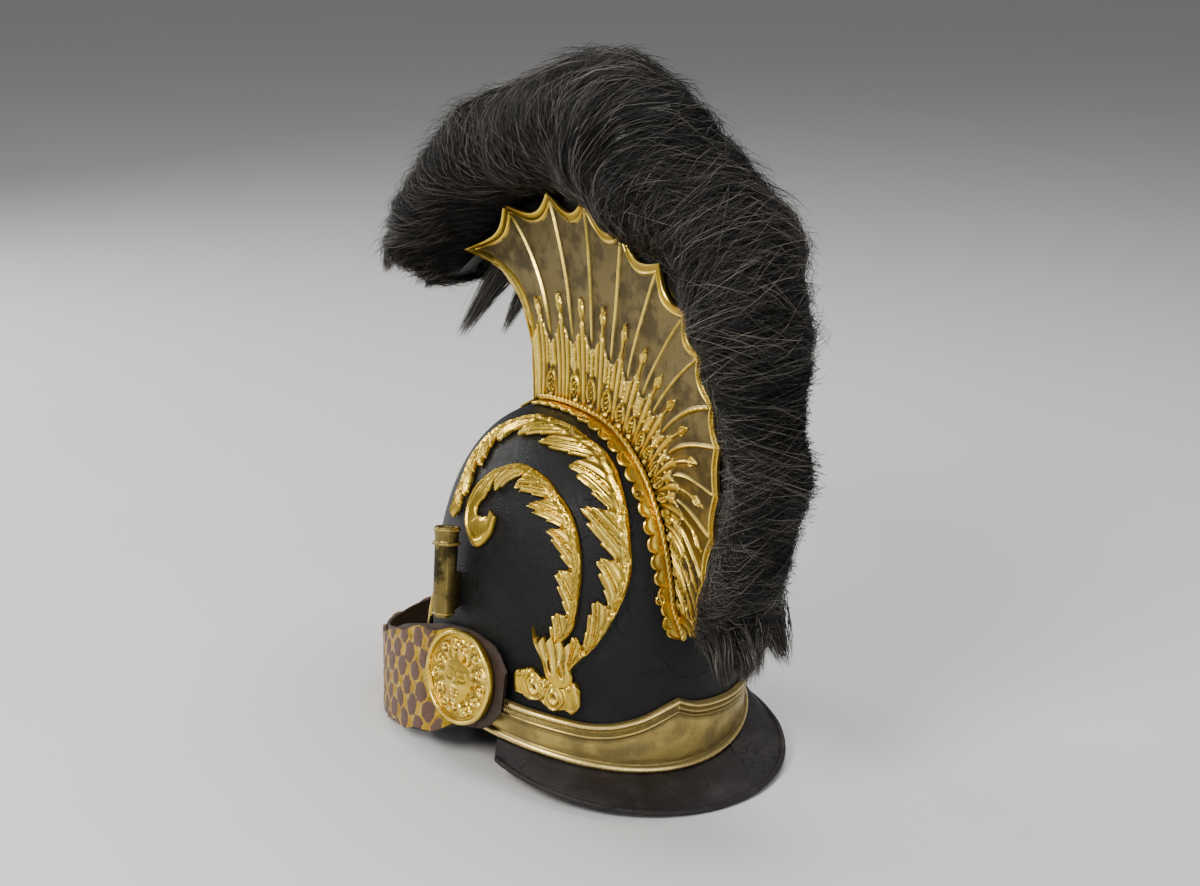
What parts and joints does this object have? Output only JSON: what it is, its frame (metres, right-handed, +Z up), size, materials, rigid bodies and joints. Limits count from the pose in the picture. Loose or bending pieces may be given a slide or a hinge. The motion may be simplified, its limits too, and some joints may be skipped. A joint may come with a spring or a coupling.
{
  "type": "cavalry helmet",
  "caption": "Crested cavalry helmet: black leather skull, gilt brass comb with a fur crest, acanthus mounts, plume socket, neck guard and scaled chin strap.",
  "frame": {"origin": "on the standing surface, under the centre of the whole helmet's box", "axes": "+Z up, +X the wearer's left, -Y the front"},
  "size_m": [0.237, 0.392, 0.452],
  "materials": {
    "gilt_brass": "fire-gilt brass, rubbed bright on the relief",
    "worn_brass": "tarnished gilt brass, olive brown in the hollows",
    "black_leather": "lacquered black leather, soft sheen, fine cracks",
    "guard_leather": "dull dark leather with a rolled edge",
    "brown_leather": "dull brown leather",
    "black_fur": "long coarse black fur"
  },
  "bodies": {
    "root": {"skull": "black_leather", "base_band": "worn_brass", "front_plate": "gilt_brass", "neck_guard": "guard_leather", "guard_binding": "guard_leather", "comb_plate_left": "worn_brass", "comb_plate_right": "worn_brass", "comb_foot_left": "gilt_brass", "comb_foot_right": "gilt_brass", "comb_rope_left": "gilt_brass", "comb_rope_right": "gilt_brass", "comb_screw_left_1": "gilt_brass", "comb_screw_left_2": "gilt_brass", "comb_screw_left_3": "gilt_brass", "comb_screw_right_1": "gilt_brass", "comb_screw_right_2": "gilt_brass", "comb_screw_right_3": "gilt_brass", "comb_front": "gilt_brass", "comb_front_foot": "gilt_brass", "crest_core": "brown_leather", "crest_fur": "black_fur", "acanthus_outer_left": "gilt_brass", "acanthus_outer_right": "gilt_brass", "acanthus_inner_left": "gilt_brass", "acanthus_inner_right": "gilt_brass", "calyx_left": "gilt_brass", "calyx_right": "gilt_brass", "ribbon_knot_left": "gilt_brass", "ribbon_knot_right": "gilt_brass", "plume_socket": "worn_brass", "strap_leather": "brown_leather", "strap_scales": "gilt_brass", "boss_left": "gilt_brass", "boss_right": "gilt_brass"}
  },
  "joints": []
}
